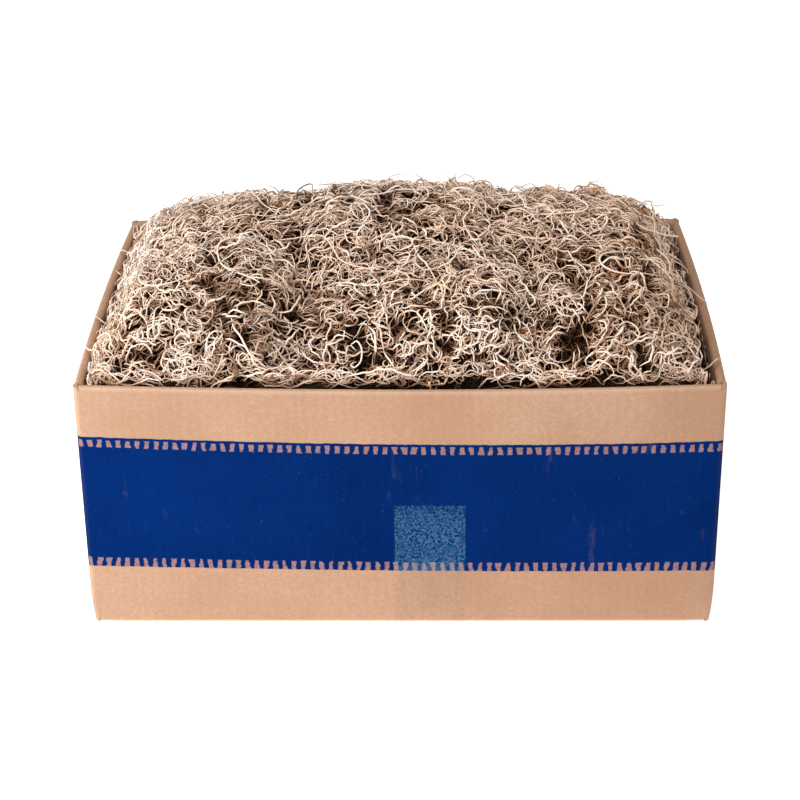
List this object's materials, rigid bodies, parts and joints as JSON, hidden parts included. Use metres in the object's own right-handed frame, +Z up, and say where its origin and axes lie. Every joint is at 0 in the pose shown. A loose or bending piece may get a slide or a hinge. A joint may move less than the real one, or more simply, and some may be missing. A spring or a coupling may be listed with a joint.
{
  "type": "boxed spanish moss",
  "caption": "Open corrugated carton with a printed band and a strip of clear tape, packed and heaped with a loose bunch of dried Spanish moss.",
  "frame": {"origin": "middle of the carton's underside, where it stands", "axes": "+Z up, +X along the carton's long side to the right of someone facing the taped, printed front, +Y from the front to the back"},
  "size_m": [0.436, 0.322, 0.2639],
  "materials": {
    "kraft_board": "matte",
    "packing_tape": "satin",
    "moss_strands": "matte",
    "moss_packed": "matte"
  },
  "bodies": {
    "root": {"back_bottom_flap": "kraft_board", "back_top_flap": "kraft_board", "back_wall": "kraft_board", "front_bottom_flap": "kraft_board", "front_top_flap": "kraft_board", "front_wall": "kraft_board", "glue_tab": "kraft_board", "left_bottom_flap": "kraft_board", "left_top_flap": "kraft_board", "left_wall": "kraft_board", "moss_bed": "moss_packed", "moss_strand_01": "moss_strands", "moss_strand_02": "moss_strands", "moss_strand_03": "moss_strands", "moss_strand_04": "moss_strands", "moss_strand_05": "moss_strands", "moss_strand_06": "moss_strands", "moss_strand_07": "moss_strands", "moss_strand_08": "moss_strands", "moss_strand_09": "moss_strands", "moss_strand_10": "moss_strands", "moss_strand_11": "moss_strands", "moss_strand_12": "moss_strands", "moss_strand_13": "moss_strands", "moss_strand_14": "moss_strands", "moss_strand_15": "moss_strands", "moss_strand_16": "moss_strands", "moss_wad_back_left": "moss_strands", "moss_wad_back_middle": "moss_strands", "moss_wad_back_right": "moss_strands", "moss_wad_centre": "moss_strands", "moss_wad_front_left": "moss_strands", "moss_wad_front_middle": "moss_strands", "moss_wad_front_right": "moss_strands", "moss_wad_left": "moss_strands", "moss_wad_right": "moss_strands", "packing_tape": "packing_tape", "right_bottom_flap": "kraft_board", "right_top_flap": "kraft_board", "right_wall": "kraft_board"}
  },
  "joints": []
}
